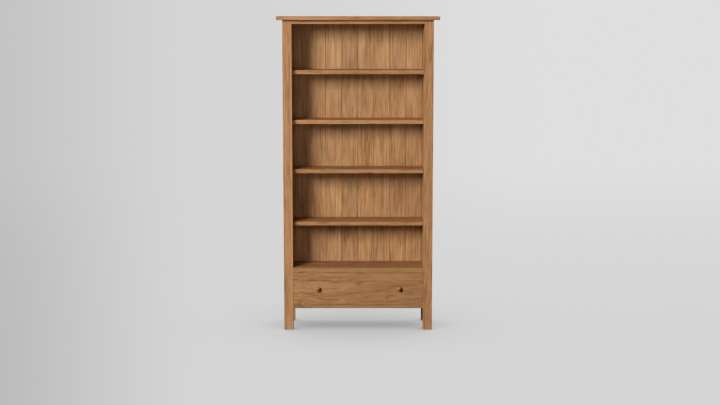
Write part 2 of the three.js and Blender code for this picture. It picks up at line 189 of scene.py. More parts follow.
# Shapes

def deselect():
    bpy.ops.object.select_all(action="DESELECT")


def take(obj):
    """Selects one object alone and makes it the active one."""
    deselect()
    obj.select_set(True)
    bpy.context.view_layer.objects.active = obj


def spread(node):
    """A CAD node's place, as its low and high end on each axis."""
    low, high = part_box(node)
    return [[low[i], high[i]] for i in range(3)]


def middle(span):
    return (span[0] + span[1]) / 2


def width(span):
    return span[1] - span[0]


def grow(spans, amount):
    """Ranges moved out at both ends, or in where the amount is below 0."""
    return [[low - amount, high + amount] for low, high in spans]


def on_side(side, low, high):
    """A range across the case, on its left or right side."""
    return sorted([side * low, side * high])


def settle(obj):
    """Moves the object's place, turn and size into its mesh."""
    bpy.ops.object.transform_apply(location=True, rotation=True, scale=True)
    return obj


def block(name, x, y, z):
    """A sawn block that fills three ranges."""
    deselect()
    bpy.ops.mesh.primitive_cube_add(size=1, location=(middle(x), middle(y), middle(z)))
    obj = bpy.context.object
    obj.name = name
    bpy.ops.transform.resize(value=(width(x), width(y), width(z)))
    return settle(obj)


def clear_selection(obj, kind):
    """Selects nothing in a mesh, and sets whether faces or edges are selected next."""
    bpy.context.view_layer.objects.active = obj
    bpy.ops.object.mode_set(mode="EDIT")
    bpy.ops.mesh.select_mode(type=kind)
    bpy.ops.mesh.select_all(action="DESELECT")
    bpy.ops.object.mode_set(mode="OBJECT")


def select_faces(obj, test):
    """Selects the faces whose centre and normal pass a test, and opens the mesh for editing."""
    clear_selection(obj, "FACE")
    for face in obj.data.polygons:
        face.select = test(face.center, face.normal)
    bpy.ops.object.mode_set(mode="EDIT")


def select_edges(obj, test):
    """Selects the edges whose two ends pass a test, and opens the mesh for editing."""
    clear_selection(obj, "EDGE")
    points = obj.data.vertices
    for edge in obj.data.edges:
        a, b = (points[i].co for i in edge.vertices)
        edge.select = test(a, b)
    bpy.ops.object.mode_set(mode="EDIT")


def round_over(obj, amount, steps=ROUND_STEPS):
    """Rounds the selected edges over and marks the new faces as the board's arris, where hands wear it."""
    bpy.ops.mesh.bevel(offset=amount, segments=steps, profile=0.5, affect="EDGES")
    bpy.ops.object.mode_set(mode="OBJECT")
    marks = obj.data.attributes.get("arris") or obj.data.attributes.new("arris", "FLOAT", "FACE")
    for face, worn in zip(obj.data.polygons, marks.data):
        if face.select:
            worn.value = 1.0


def apply_modifier(obj, kind, **settings):
    take(obj)
    made = obj.modifiers.new(kind.lower(), kind)
    for key, value in settings.items():
        setattr(made, key, value)
    bpy.ops.object.modifier_apply(modifier=made.name)


def finish_faces(obj):
    """Smooth over the rounded edges, flat on the faces."""
    take(obj)
    bpy.ops.object.shade_smooth_by_angle(angle=SMOOTH_ANGLE)
    apply_modifier(obj, "WEIGHTED_NORMAL", keep_sharp=True)


def plank(name, x, y, z, arris=ARRIS):
    """A planed board that fills three ranges, with its twelve edges rounded over."""
    obj = block(name, x, y, z)
    select_edges(obj, lambda a, b: True)
    round_over(obj, arris)
    return obj


def merge(objects):
    """Several meshes as one object."""
    deselect()
    for obj in objects:
        obj.select_set(True)
    bpy.context.view_layer.objects.active = objects[0]
    if len(objects) > 1:
        bpy.ops.object.join()
    return bpy.context.object


def carve(obj, cutters, operation="DIFFERENCE"):
    """Cuts the cutters out of a piece, or adds them to it, and clears them away."""
    tool = merge(cutters)
    apply_modifier(obj, "BOOLEAN", operation=operation, object=tool, solver="EXACT", use_self=True)
    bpy.data.objects.remove(tool)


def drill(axis, centre, radius, depth):
    """A round cutter that lies across the case or from front to back."""
    deselect()
    turn = {"X": (0, math.pi / 2, 0), "Y": (math.pi / 2, 0, 0)}[axis]
    bpy.ops.mesh.primitive_cylinder_add(
        vertices=HOLE_STEPS, radius=radius, depth=depth, location=centre, rotation=turn
    )
    return settle(bpy.context.object)


def turned(name, outline, steps):
    """A piece turned on a lathe: [radius, distance along the axis] points, spun about +Z at the origin."""
    deselect()
    bpy.ops.mesh.primitive_plane_add(size=1)
    obj = bpy.context.object
    obj.name = name
    bpy.ops.object.mode_set(mode="EDIT")
    bpy.ops.mesh.select_mode(type="VERT")
    bpy.ops.mesh.merge(type="CENTER")
    for (r, h), (next_r, next_h) in zip(outline, outline[1:]):
        bpy.ops.mesh.extrude_vertices_move(TRANSFORM_OT_translate={"value": (next_r - r, 0, next_h - h)})
    bpy.ops.mesh.select_all(action="SELECT")
    bpy.ops.mesh.spin(steps=steps, angle=2 * math.pi, center=(0, 0, 0), axis=(0, 0, 1))
    bpy.ops.mesh.select_all(action="SELECT")
    bpy.ops.mesh.remove_doubles(threshold=WELD)
    bpy.ops.mesh.normals_make_consistent(inside=False)
    bpy.ops.object.mode_set(mode="OBJECT")
    return obj


def place(obj, location, rotation):
    """Moves and turns a piece that was made at the origin."""
    take(obj)
    obj.location = location
    obj.rotation_euler = rotation
    settle(obj)


def arc(centre, radii, start, end, steps):
    """Points on an ellipse's arc, from one angle in degrees to another."""
    angles = [math.radians(start + (end - start) * i / steps) for i in range(steps + 1)]
    return [(centre[0] + radii[0] * math.cos(a), centre[1] + radii[1] * math.sin(a)) for a in angles]


# Materials

def linear(hex_colour):
    """An sRGB hex colour as the linear RGBA that a shader takes."""
    parts = [int(hex_colour[i : i + 2], 16) / 255 for i in (1, 3, 5)]
    return [c / 12.92 if c <= 0.04045 else ((c + 0.055) / 1.055) ** 2.4 for c in parts] + [1.0]


def add(tree, kind, inputs=(), **settings):
    """Adds a node with its settings. Each input is set to a value, or linked to another node's socket."""
    made = tree.nodes.new("ShaderNode" + kind)
    for key, value in settings.items():
        setattr(made, key, value)
    for socket, source in dict(inputs).items():
        if isinstance(source, bpy.types.NodeSocket):
            tree.links.new(source, made.inputs[socket])
        else:
            made.inputs[socket].default_value = source
    return made


def tools(tree):
    """Two shorthands for a node tree: calc for a Math node's result, and ramp for a smooth change from
    one value to another while a source goes through a range."""
    def calc(operation, a, b=0.0, c=0.0):
        return add(tree, "Math", {0: a, 1: b, 2: c}, operation=operation).outputs[0]

    def ramp(source, span, start=0.0, end=1.0, kind="SMOOTHSTEP"):
        limits = {"From Min": span[0], "From Max": span[1], "To Min": start, "To Max": end}
        return add(tree, "MapRange", {"Value": source, **limits}, interpolation_type=kind).outputs[0]

    return calc, ramp


def shader(name):
    """A new material and its node tree, holding only a Principled shader and the output."""
    material = bpy.data.materials.new(name)
    material.use_nodes = True
    tree = material.node_tree
    return material, tree, tree.nodes["Principled BSDF"]


# Sockets of a Mix node that mixes colours
FACTOR, COLOUR_A, COLOUR_B, MIXED = 0, 6, 7, 2

# Turns a log, whose own length is on Z, to lie along an axis of the case, and the two axes it leans about
ALONG = {"X": (0, 90, 0), "Y": (-90, 0, 0), "Z": (0, 0, 0)}
LEANS = {"X": (1, 2), "Y": (0, 2), "Z": (0, 1)}

# Finishes of the wood: dark, middle and light grain, pores and worn edges
OILED_OAK = dict(dark="#855631", mid="#a57549", light="#bd8d5f", pore="#4e2e18", worn="#bb8c5f")
BACK_OAK = dict(dark="#8d603c", mid="#ab8055", light="#c0976b", pore="#57361f", worn="#c09569")
BARE_OAK = dict(dark="#b08a5c", mid="#c7a577", light="#d8bb90", pore="#7d5f3d", worn="#dcc196")


def mark(centre, reach, dark=0.0, lively=0.0, push=(0, 0, 0)):
    """A place where the grain or tone of a board changes, such as a knot, or where light or shade is painted
    on it, as a row for oak. reach is how far it goes on each axis, dark is below 0 where the wood is paler,
    and push is how far the fibres bend."""
    return centre, reach, push, dark, lively


def oak(
    name, along, heart, lean, tone, colours, knots=(), figure=1.0, drift=0.3, contrast=1.0, run=1.0
):
    """Solid European oak, planed and oiled to a satin finish: growth rings round the log's heart, so
    that a face shows straight lines or arches by how it is cut, with streaks of fibre and open pores.
    heart is a point that the middle of the log passes through, and lean tilts the log in degrees.
    figure is how strongly the rings show, contrast how strongly all the grain does, run how long its
    streaks are, drift how far the tone wanders along the board, and knots are rows made
    by mark, for knots and for painted light and shade."""
    material, tree, principled = shader(name)
    calc, ramp = tools(tree)
    turn = [math.radians(a) for a in ALONG[along]]
    for axis, angle in zip(LEANS[along], lean):
        turn[axis] += math.radians(angle)
    place_in_case = add(tree, "TexCoord").outputs["Object"]

    def stretched(source, across, along_grain):
        """The place in the log, in cells of that size across and along the grain."""
        scale = (1 / across, 1 / across, 1 / along_grain)
        return add(tree, "VectorMath", {0: source, 1: scale}, operation="MULTIPLY").outputs[0]

    def noise(source, detail=2.0, roughness=0.5):
        """Soft noise whose middle is 0.5."""
        made = add(tree, "TexNoise", {"Scale": 1.0, "Detail": detail, "Roughness": roughness})
        tree.links.new(source, made.inputs["Vector"])
        return made.outputs["Fac"]

    def centred(source, amount):
        """Noise moved to lie either side of zero, that far in all."""
        return calc("MULTIPLY_ADD", source, amount, -amount / 2)

    # Knots, burrs and places of painted light and shade: the fibres bend round them, the grain is livelier
    # there, and the wood in them is darker or paler
    marks = 0.0
    strength = contrast
    bent = place_in_case
    for place_of_mark, reach, push, dark, lively in knots:
        near = add(
            tree, "VectorMath", {0: place_in_case, 1: place_of_mark}, operation="SUBTRACT"
        ).outputs[0]
        near = add(tree, "VectorMath", {0: near, 1: [1 / r for r in reach]}, operation="MULTIPLY").outputs[0]
        distance = add(tree, "VectorMath", {0: near}, operation="LENGTH").outputs["Value"]
        nearness = ramp(distance, (0, 1), 1.0, 0.0, "SMOOTHERSTEP")
        shift = add(tree, "VectorMath", {0: push, 3: nearness}, operation="SCALE").outputs[0]
        bent = add(tree, "VectorMath", {0: bent, 1: shift}, operation="ADD").outputs[0]
        marks = calc("MULTIPLY_ADD", nearness, -dark, marks)
        strength = calc("MULTIPLY_ADD", nearness, lively, strength)
    log = add(
        tree, "Mapping", {"Vector": bent, "Location": heart, "Rotation": turn}, vector_type="TEXTURE"
    ).outputs[0]

    # Growth rings wander a few millimetres as the trunk grew unevenly
    across = add(tree, "VectorMath", {0: log, 1: (1, 1, 0)}, operation="MULTIPLY").outputs[0]
    radius = add(tree, "VectorMath", {0: across}, operation="LENGTH").outputs["Value"]
    radius = calc("ADD", radius, centred(noise(stretched(log, 110 * MM, 1400 * MM)), 30 * MM))
    radius = calc("ADD", radius, centred(noise(stretched(log, 24 * MM, 220 * MM)), 5 * MM))

    # Broad bands of darker and paler rings, about 14 mm wide, and the 3 mm rings themselves
    bands = add(
        tree, "TexNoise",
        {"W": calc("DIVIDE", radius, 14 * MM), "Scale": 1.0, "Detail": 3.0, "Roughness": 0.6},
        noise_dimensions="1D",
    ).outputs["Fac"]
    ring = calc("FRACT", calc("DIVIDE", radius, 3.1 * MM))
    ring = calc("POWER", ring, 0.6)

    # Fibre streaks 7 mm and 1.4 mm wide, and slow changes of tone along the board
    broad = noise(stretched(log, 7 * MM, 90 * MM * run), 3.0, 0.65)
    fine = noise(stretched(log, 1.4 * MM, 60 * MM * run), 2.0, 0.6)
    mottle = noise(stretched(log, 18 * MM, 55 * MM * run), 2.0, 0.55)
    cloud = noise(stretched(log, 60 * MM, 240 * MM), 1.0)

    # Pores are 0.3 mm wide in oak; they are drawn 0.8 mm wide, as finer ones don't show
    pores = noise(stretched(log, 0.8 * MM, 14 * MM), 1.0)
    pores = ramp(pores, (0.58, 0.72), kind="LINEAR")
    open_pores = calc("MULTIPLY", pores, calc("SUBTRACT", 1.25, ring))

    grain = calc("MULTIPLY_ADD", bands, 0.8 * figure, 0.5 - 0.4 * figure)
    grain = calc("ADD", grain, centred(broad, 0.62))
    grain = calc("ADD", grain, centred(mottle, 0.42))
    grain = calc("ADD", grain, centred(fine, 0.2))
    grain = calc("ADD", grain, centred(ring, 0.08))
    grain = calc("MULTIPLY_ADD", calc("SUBTRACT", grain, 0.5), strength, 0.5)
    grain = calc("ADD", grain, marks)
    tint = add(tree, "ValToRGB", {"Fac": grain})
    stops = tint.color_ramp.elements
    stops[0].position, stops[0].color = 0.28, linear(colours["dark"])
    stops[1].position, stops[1].color = 0.74, linear(colours["light"])
    stops.new(0.5).color = linear(colours["mid"])
    brightness = calc("ADD", centred(cloud, drift), tone)
    # Paler places are richer in colour
    richness = calc("MULTIPLY_ADD", calc("MINIMUM", marks, 0.0), -0.35, 1.0)
    wood = add(
        tree, "HueSaturation", {"Color": tint.outputs["Color"], "Saturation": richness, "Value": brightness}
    ).outputs[0]
    wood = add(
        tree, "Mix",
        {FACTOR: calc("MULTIPLY", open_pores, 0.5), COLOUR_A: wood, COLOUR_B: linear(colours["pore"])},
        data_type="RGBA",
    ).outputs[MIXED]

    # Hands and dusting polish the arrises, a little more in some places than in others
    edge = add(tree, "Attribute", attribute_name="arris").outputs["Fac"]
    rubbed = calc("MULTIPLY", edge, ramp(broad, (0.35, 0.6), kind="LINEAR"))
    wood = add(
        tree, "Mix",
        {FACTOR: calc("MULTIPLY", rubbed, 0.45), COLOUR_A: wood, COLOUR_B: linear(colours["worn"])},
        data_type="RGBA",
    ).outputs[MIXED]
    tree.links.new(wood, principled.inputs["Base Color"])

    rough = calc("MULTIPLY_ADD", open_pores, 0.22, 0.56)
    rough = calc("ADD", rough, centred(fine, 0.12))
    rough = calc("MULTIPLY_ADD", rubbed, -0.08, rough)
    tree.links.new(rough, principled.inputs["Roughness"])
    height = calc("SUBTRACT", calc("MULTIPLY", fine, 0.35), open_pores)
    bump = add(tree, "Bump", {"Strength": 0.35, "Distance": 0.12 * MM, "Height": height})
    tree.links.new(bump.outputs[0], principled.inputs["Normal"])
    principled.inputs["IOR"].default_value = 1.5
    principled.inputs["Specular IOR Level"].default_value = 0.2
    return material


def plated_steel():
    """Nickel plated mild steel, turned and barrel polished: a soft grey shine with faint round marks."""
    material, tree, principled = shader("nickel_plated_steel")
    ramp = tools(tree)[1]
    place_in_case = add(tree, "TexCoord").outputs["Object"]
    marks = add(tree, "TexNoise", {"Vector": place_in_case, "Scale": 900.0, "Detail": 2.0}).outputs["Fac"]
    tint = add(tree, "ValToRGB", {"Fac": marks})
    stops = tint.color_ramp.elements
    stops[0].position, stops[0].color = 0.3, linear("#b3b1ab")
    stops[1].position, stops[1].color = 0.7, linear("#cfcdc8")
    tree.links.new(tint.outputs["Color"], principled.inputs["Base Color"])
    tree.links.new(ramp(marks, (0, 1), 0.22, 0.38, "LINEAR"), principled.inputs["Roughness"])
    principled.inputs["Metallic"].default_value = 1.0
    return material


def lit_backdrop():
    """A matt studio bowl with an even light of its own, as the photograph has no cast shadow: only
    the soft shade of the case on the floor near it, and a slow fall of light towards the left."""
    material, tree, principled = shader("matt_backdrop")
    calc, ramp = tools(tree)
    place_in_room = add(tree, "TexCoord").outputs["Object"]
    x, y, _ = add(tree, "SeparateXYZ", {0: place_in_room}).outputs

    # Darker towards the left, less so at the far end, and brighter far to the right
    across = calc("DIVIDE", x, calc("ADD", y, LAMP_DISTANCE))
    far = ramp(y, FAR_RANGE)
    edge = calc("MULTIPLY_ADD", far, BACKDROP_FAR_EDGE, BACKDROP_EDGE)
    fall = ramp(across, LEFT_FALL, edge, 1.0)
    far_right = calc("MULTIPLY", ramp(across, RIGHT_RISE), far)
    level = calc("MULTIPLY_ADD", far_right, BACKDROP_FAR_RIGHT, fall)

    # The shade under and round the case
    open_sky = add(tree, "AmbientOcclusion", {"Distance": SHADE_REACH}, samples=16).outputs["AO"]
    covered = calc("POWER", calc("SUBTRACT", 1.0, open_sky), SHADE_SOFTNESS)
    level = calc("MULTIPLY", level, calc("MULTIPLY_ADD", covered, -SHADE_DEPTH, 1.0))

    # The fall of light stops short of the camera, and the room behind it is even
    ahead = ramp(y, AHEAD_RANGE)
    behind = calc("SUBTRACT", 1.0, ahead)
    level = calc("MULTIPLY_ADD", level, ahead, behind)
    tree.links.new(calc("MULTIPLY", level, BACKDROP_GREY), principled.inputs["Emission Strength"])
    principled.inputs["Emission Color"].default_value = (*WHITE, 1)
    principled.inputs["Base Color"].default_value = (0, 0, 0, 1)
    principled.inputs["Roughness"].default_value = 0.9
    principled.inputs["Specular IOR Level"].default_value = 0.0
    return material


# Studio

def add_camera():
    """The photograph's viewpoint."""
    data = bpy.data.cameras.new("photo_camera")
    data.lens = CAMERA_LENS
    data.sensor_width = SENSOR_WIDTH
    camera = bpy.data.objects.new("photo_camera", data)
    bpy.context.scene.collection.objects.link(camera)
    camera.location = CAMERA_PLACE
    camera.rotation_euler = (math.radians(90 - CAMERA_TILT), 0, 0)
    bpy.context.scene.camera = camera


def add_bowl():
    """The floor, pulled up at its rim into a curved wall, so that no line shows behind the case."""
    deselect()
    bpy.ops.mesh.primitive_circle_add(vertices=STAGE_SIDES, radius=FLOOR_RADIUS, fill_type="NGON")
    bowl = bpy.context.object
    bowl.name = "studio_bowl"
    bpy.ops.object.mode_set(mode="EDIT")
    bpy.ops.mesh.select_mode(type="EDGE")
    bpy.ops.mesh.select_all(action="SELECT")
    bpy.ops.mesh.region_to_loop()
    rings = arc((FLOOR_RADIUS, COVE_RADIUS), (COVE_RADIUS, COVE_RADIUS), -90, 0, COVE_STEPS)
    rings.append((FLOOR_RADIUS + COVE_RADIUS, WALL_TOP))
    for (radius, height), (wider, higher) in zip(rings, rings[1:]):
        bpy.ops.mesh.extrude_region_move(TRANSFORM_OT_translate={"value": (0, 0, higher - height)})
        scale = wider / radius
        bpy.ops.transform.resize(value=(scale, scale, 1), center_override=(0, 0, 0))
    bpy.ops.mesh.select_all(action="SELECT")
    bpy.ops.mesh.normals_make_consistent(inside=True)
    bpy.ops.object.mode_set(mode="OBJECT")
    bpy.ops.object.shade_smooth()
    bowl.data.materials.append(lit_backdrop())
    bowl.visible_diffuse = False
    bowl.visible_glossy = False
    bowl.visible_shadow = False
    return bowl


def add_softbox(name, box, unlit_pieces, colour=WHITE):
    """A square softbox whose light some pieces are kept out of. The bowl is one of them, as the
    photograph has no cast shadow."""
    place_in_room, size, power = box
    data = bpy.data.lights.new(name, "AREA")
    data.shape = "SQUARE"
    data.size = size
    data.energy = power
    data.color = colour
    light = bpy.data.objects.new(name, data)
    bpy.context.scene.collection.objects.link(light)
    light.location = place_in_room
    light.rotation_euler = (BOX_AIM - Vector(place_in_room)).to_track_quat("-Z", "Y").to_euler()
    light.visible_camera = False
    unlit = bpy.data.collections.new(name + "_leaves_out")
    light.light_linking.receiver_collection = unlit
    for piece in unlit_pieces:
        unlit.objects.link(piece)
    for row in unlit.collection_objects:
        row.light_linking.link_state = "EXCLUDE"


def light_room():
    """Soft light from all round that makes no highlights, stronger from the pale floor, and the bowl's
    own grey for the camera above its wall."""
    world = bpy.data.worlds.new("studio_room")
    bpy.context.scene.world = world
    world.use_nodes = True
    tree = world.node_tree
    tree.nodes.clear()
    calc, ramp = tools(tree)
    direction = add(tree, "TexCoord").outputs["Generated"]
    height = add(tree, "SeparateXYZ", {0: direction}).outputs["Z"]
    strength = ramp(height, HORIZON_TO_FLOOR, ROOM_LIGHT, FLOOR_LIGHT)
    ray = add(tree, "LightPath").outputs
    matt = calc("SUBTRACT", 1.0, ray["Is Glossy Ray"])
    strength = calc("MULTIPLY", strength, matt)
    room = add(tree, "Background", {"Color": (*WARM, 1), "Strength": strength}).outputs[0]
    wall = add(tree, "Background", {"Color": (*WHITE, 1), "Strength": BACKDROP_GREY}).outputs[0]
    both = add(tree, "MixShader", {0: ray["Is Camera Ray"], 1: room, 2: wall}).outputs[0]
    add(tree, "OutputWorld", {"Surface": both})


# Pieces

def fit(obj, node, body, material):
    """Puts a finished piece in a CAD node's place."""
    obj.name = "finished_" + node
    obj.data.materials.clear()
    obj.data.materials.append(material)
    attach(obj, body)
    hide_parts(node)


def wood_of_board(node, along, offset, lean, tone=1.0, colours=OILED_OAK, **looks):
    """The material of one board. offset is from the middle of the board to the heart of its log."""
    centre = [middle(span) for span in spread(node)]
    heart = [c + o for c, o in zip(centre, offset)]
    return oak("oak_" + node, along, heart, lean, tone, colours, **looks)


def rail_tenon(node, side):
    """The tenon at one end of a front or back rail, as three ranges that start just inside the rail."""
    x, y, z = spread(node)
    face = y[0] + (BACK_TENON_INSET if node in BACK_RAILS else FRONT_TENON_INSET)
    return [on_side(side, INSIDE - MM, x[1]), [face, face + TENON_THICKNESS], *grow([z], -TENON_SHOULDER)]


def side_rail_tenons(node):
    """The tenons at both ends of a side rail, as one bar through it."""
    x, y, z = spread(node)
    return [*grow([x], -SIDE_TENON_INSET), y, *grow([z], -SIDE_TENON_SHOULDER)]


def panel_tongue(label, side):
    """The tongue all round a side panel, as one thin plate through it."""
    inner = INSIDE + PANEL_TONGUE_INSET
    return [on_side(side, inner, inner + PANEL_TONGUE_THICKNESS), *spread(f"{label}_side_panel")[1:]]


def shelf_housing(side):
    """The end of the fixed shelf that is let into a side panel."""
    x, y, z = spread("bottom_shelf")
    panel_front = spread("left_side_panel")[1][0] + PANEL_TONGUE_LENGTH
    return [on_side(side, INSIDE - MM, x[1]), [panel_front + GLUE_GAP, y[1]], z]


def grown_blocks(name, joints):
    """Cutters for the mortises, grooves or housings of joints, with room for glue."""
    return [block(name, *grow(joint, GLUE_GAP)) for joint in joints]


def painted_inside_light(side):
    """Painted light on the inner face of a side: towards the front on the left, and all over on the right."""
    depth = 1.0 if side > 0 else 0.12
    return mark((side * INSIDE, -0.1, 0.95), (0.014, depth, 3.0), dark=-0.25)


# How each post is cut, with the marks on it. The left front post has painted light on its inner face towards
# the front, the left rear post painted light at its foot, and the right rear post a painted shadow at its
# foot.
POST_CUTS = {
    "front_left_post": dict(
        offset=(0.03, 0.16, 0.4), lean=(0.5, -0.6), tone=1.02, contrast=1.05,
        knots=[mark((-0.4, -0.09, 0.0), (0.1, 0.1, 0.25), dark=-0.2), painted_inside_light(-1)],
    ),
    "front_right_post": dict(
        offset=(-0.05, 0.13, 0.9), lean=(-0.4, 0.5), tone=1.05, contrast=1.4,
        knots=[mark((0.4, -0.09, 1.75), (0.1, 0.1, 0.5), dark=0.08)],
    ),
    "rear_left_post": dict(
        offset=(0.10, 0.05, 0.1), lean=(0.5, 0.3), tone=0.98, contrast=1.3,
        knots=[mark((-0.4, 0.12, 0.05), (0.1, 0.1, 0.2), dark=-0.3)],
    ),
    "rear_right_post": dict(
        offset=(-0.09, -0.07, 0.6), lean=(-0.3, 0.5), tone=1.0, contrast=1.3,
        knots=[mark((0.4, 0.12, 0.05), (0.1, 0.1, 0.2), dark=0.3)],
    ),
}

# The marks on the board that the drawer's front and its rails are cut from: livelier grain towards the
# left, a painted shadow below and to the right of each knob, small knots, and pale streaks
DRAWER_FRONT_MARKS = [
    mark((-0.41, -0.12, 0.165), (0.30, 0.1, 0.14), lively=1.4, push=(0, 0, -0.05)),
    mark((-0.28, -0.12, 0.27), (0.34, 0.1, 0.14), lively=1.4),
    mark((0.30, -0.12, 0.24), (0.20, 0.1, 0.14), lively=0.2),
    # Painted shadows of the knobs, below and to the right of each
    mark((-0.225, -0.12, 0.235), (0.024, 0.02, 0.022), dark=0.5),
    mark((0.243, -0.12, 0.235), (0.024, 0.02, 0.022), dark=0.5),
    mark((-0.336, -0.12, 0.156), (0.014, 0.02, 0.007), dark=0.5, push=(0, 0, 0.004)),
    mark((0.002, -0.12, 0.272), (0.05, 0.05, 0.022), dark=0.06, push=(0, 0, 0.007)),
    mark((0.002, -0.12, 0.272), (0.012, 0.02, 0.006), dark=0.3),
    mark((0.168, -0.12, 0.186), (0.022, 0.03, 0.018), dark=0.22, push=(0, 0, 0.004)),
    mark((-0.094, -0.12, 0.172), (0.030, 0.03, 0.018), dark=-0.3, push=(0, 0, -0.008)),
    mark((0.215, -0.12, 0.284), (0.040, 0.03, 0.008), dark=-0.2),
    mark((0.18, -0.12, 0.30), (0.3, 0.1, 0.06), dark=-0.11),
    mark((0.0, -0.12, 0.36), (1.0, 0.1, 0.05), dark=-0.06),
]


def add_case(front_wood):
    """The top, the posts, mortised for all that meets them, and the rails with their tenons."""
    top = plank("top_board", *spread("top_board"), arris=TOP_ARRIS)
    finish_faces(top)
    left_end = mark((-0.45, -0.15, 1.79), (0.09, 0.1, 0.1), dark=0.15)
    wood = wood_of_board(
        "top_board", "X", (0.3, -0.02, -0.16), (0.4, 1.0), 1.15, drift=0.06, contrast=0.8, knots=[left_end]
    )
    fit(top, "top_board", "case", wood)

    for node, cut in POST_CUTS.items():
        label, side = SIDES[0] if "left" in node else SIDES[1]
        joints = [rail_tenon(rail, side) for rail in (FRONT_RAILS if "front" in node else BACK_RAILS)]
        joints += [side_rail_tenons(f"{label}_{level}_side_rail") for level in ("top", "bottom")]
        joints.append(panel_tongue(label, side))
        post = plank(node, *spread(node))
        carve(post, grown_blocks("mortise", joints))
        finish_faces(post)
        fit(post, node, "case", wood_of_board(node, "Z", drift=0.05, figure=0.5, run=1.7, **cut))

    for node in FRONT_RAILS:
        y, z = spread(node)[1:]
        rail = plank(node, [-INSIDE, INSIDE], y, z, arris=SMALL_ARRIS)
        carve(rail, [block("tenon", *rail_tenon(node, side)) for _, side in SIDES], "UNION")
        finish_faces(rail)
        wood = front_wood
        if node == "top_front_rail":
            wood = wood_of_board(node, "X", (0.7, 0.09, 0.05), (0.5, -0.4), 1.15, drift=0.15)
        fit(rail, node, "case", wood)

    for i, node in enumerate(BACK_RAILS):
        y, z = spread(node)[1:]
        rail = plank(node, [-INSIDE, INSIDE], y, z)
        carve(rail, [block("tenon", *rail_tenon(node, side)) for _, side in SIDES], "UNION")
        finish_faces(rail)
        fit(rail, node, "case", wood_of_board(node, "X", (0.4 + i, -0.08, 0.03), (0.6, 0.5)))

    front_post_rear = spread("front_left_post")[1][1]
    rear_post_face = spread("rear_left_post")[1][0]
    for label, side in SIDES:
        for level in ("top", "bottom"):
            node = f"{label}_{level}_side_rail"
            x, _, z = spread(node)
            rail = plank(node, x, [front_post_rear, rear_post_face], z)
            carve(rail, [block("tenon", *side_rail_tenons(node))], "UNION")
            carve(rail, grown_blocks("groove", [panel_tongue(label, side)]))
            finish_faces(rail)
            wood = wood_of_board(node, "Y", (side * -0.07, 0.3, 0.04), (0.5, 0.8))
            fit(rail, node, "case", wood)


def add_side_panels():
    """A panel on each side, with a tongue all round, a housing for the fixed shelf and pin holes."""
    for label, side in SIDES:
        node = f"{label}_side_panel"
        face = grow(spread(node)[1:], -PANEL_TONGUE_LENGTH)
        panel = plank(node, on_side(side, INSIDE, INSIDE + PANEL_THICKNESS), *face, arris=SMALL_ARRIS)
        carve(panel, [block("tongue", *panel_tongue(label, side))], "UNION")
        cutters = grown_blocks("housing", [shelf_housing(side)])
        for shelf in SHELVES:
            for row in ("front", "rear"):
                pin = spread(f"shelf_{shelf}_{row}_{label}_pin")
                for step in (-1, 0, 1):
                    centre = (
                        side * (INSIDE + PIN_HOLE_DEPTH / 2 - MM),
                        middle(pin[1]),
                        middle(pin[2]) + step * PIN_HOLE_PITCH,
                    )
                    cutters.append(drill("X", centre, PIN_HOLE_RADIUS, PIN_HOLE_DEPTH + 2 * MM))
        carve(panel, cutters)
        finish_faces(panel)
        wood = wood_of_board(
            node, "Z", (side * 0.08, 0.03, 0.5), (0.8, 0.9), 1.05, BACK_OAK,
            run=1.7, knots=[painted_inside_light(side)],
        )
        fit(panel, node, "case", wood)


# How each back board is cut, from the left: its heart's place behind it, its lean, its tone and how
# much darker it is half way up
BACK_CUTS = [
    ((0.05, 0.09), (0.6, -0.5), 0.96, 0.0),
    ((-0.09, 0.05), (0.3, 0.4), 1.06, 0.0),
    ((0.12, 0.04), (-0.3, 0.5), 1.08, 0.0),
    ((-0.02, 0.07), (1.0, 0.3), 0.95, 0.0),
    ((0.01, 0.06), (-1.2, 0.2), 1.03, 0.1),
    ((0.10, 0.03), (0.2, -0.4), 1.05, 0.0),
    ((0.02, 0.05), (1.4, 0.6), 0.96, 0.0),
    ((-0.11, 0.06), (-0.5, 0.3), 0.98, 0.0),
]


def back_board(node, last):
    """One upright board, with a V at both edges, a groove in its left edge and, unless it is the last
    one, a tongue on its right."""
    x, y, z = spread(node)
    front, rear = y
    right = x[1] if last else x[1] - TONGUE_LENGTH
    board = block(node, [x[0], right], y, z)
    select_edges(board, lambda a, b: max(a.y, b.y) < front + MM and abs(a.x - b.x) < MM)
    round_over(board, V_DEPTH, 1)
    select_edges(
        board,
        lambda a, b: abs(a.x - b.x) < CLOSE and abs(a.y - b.y) < CLOSE
        and (a.y < front + CLOSE or abs(a.y - front - V_DEPTH) < CLOSE),
    )
    round_over(board, V_SOFTENING, 2)
    select_edges(board, lambda a, b: min(a.y, b.y) > rear - CLOSE and abs(a.x - b.x) < MM)
    round_over(board, REAR_ARRIS, 1)
    if not last:
        select_faces(board, lambda c, n: n.x > SQUARELY and abs(c.x - right) < CLOSE)
        edge = [front + V_DEPTH, rear - REAR_ARRIS]
        bpy.ops.mesh.extrude_region_move(TRANSFORM_OT_translate={"value": (0, 0, 0)})
        bpy.ops.transform.resize(
            value=(1, TONGUE_THICKNESS / width(edge), 1),
            center_override=(right, middle(edge), middle(z)),
        )
        bpy.ops.transform.translate(value=(0, middle(y) - middle(edge), 0))
        bpy.ops.mesh.extrude_region_move(TRANSFORM_OT_translate={"value": (TONGUE_LENGTH, 0, 0)})
        bpy.ops.object.mode_set(mode="OBJECT")
    reach = TONGUE_THICKNESS / 2 + GLUE_GAP
    across = [middle(y) - reach, middle(y) + reach]
    groove = block("groove", [x[0] - MM, x[0] + TONGUE_LENGTH], across, [z[0] - MM, z[1] + MM])
    carve(board, [groove])
    finish_faces(board)
    return board


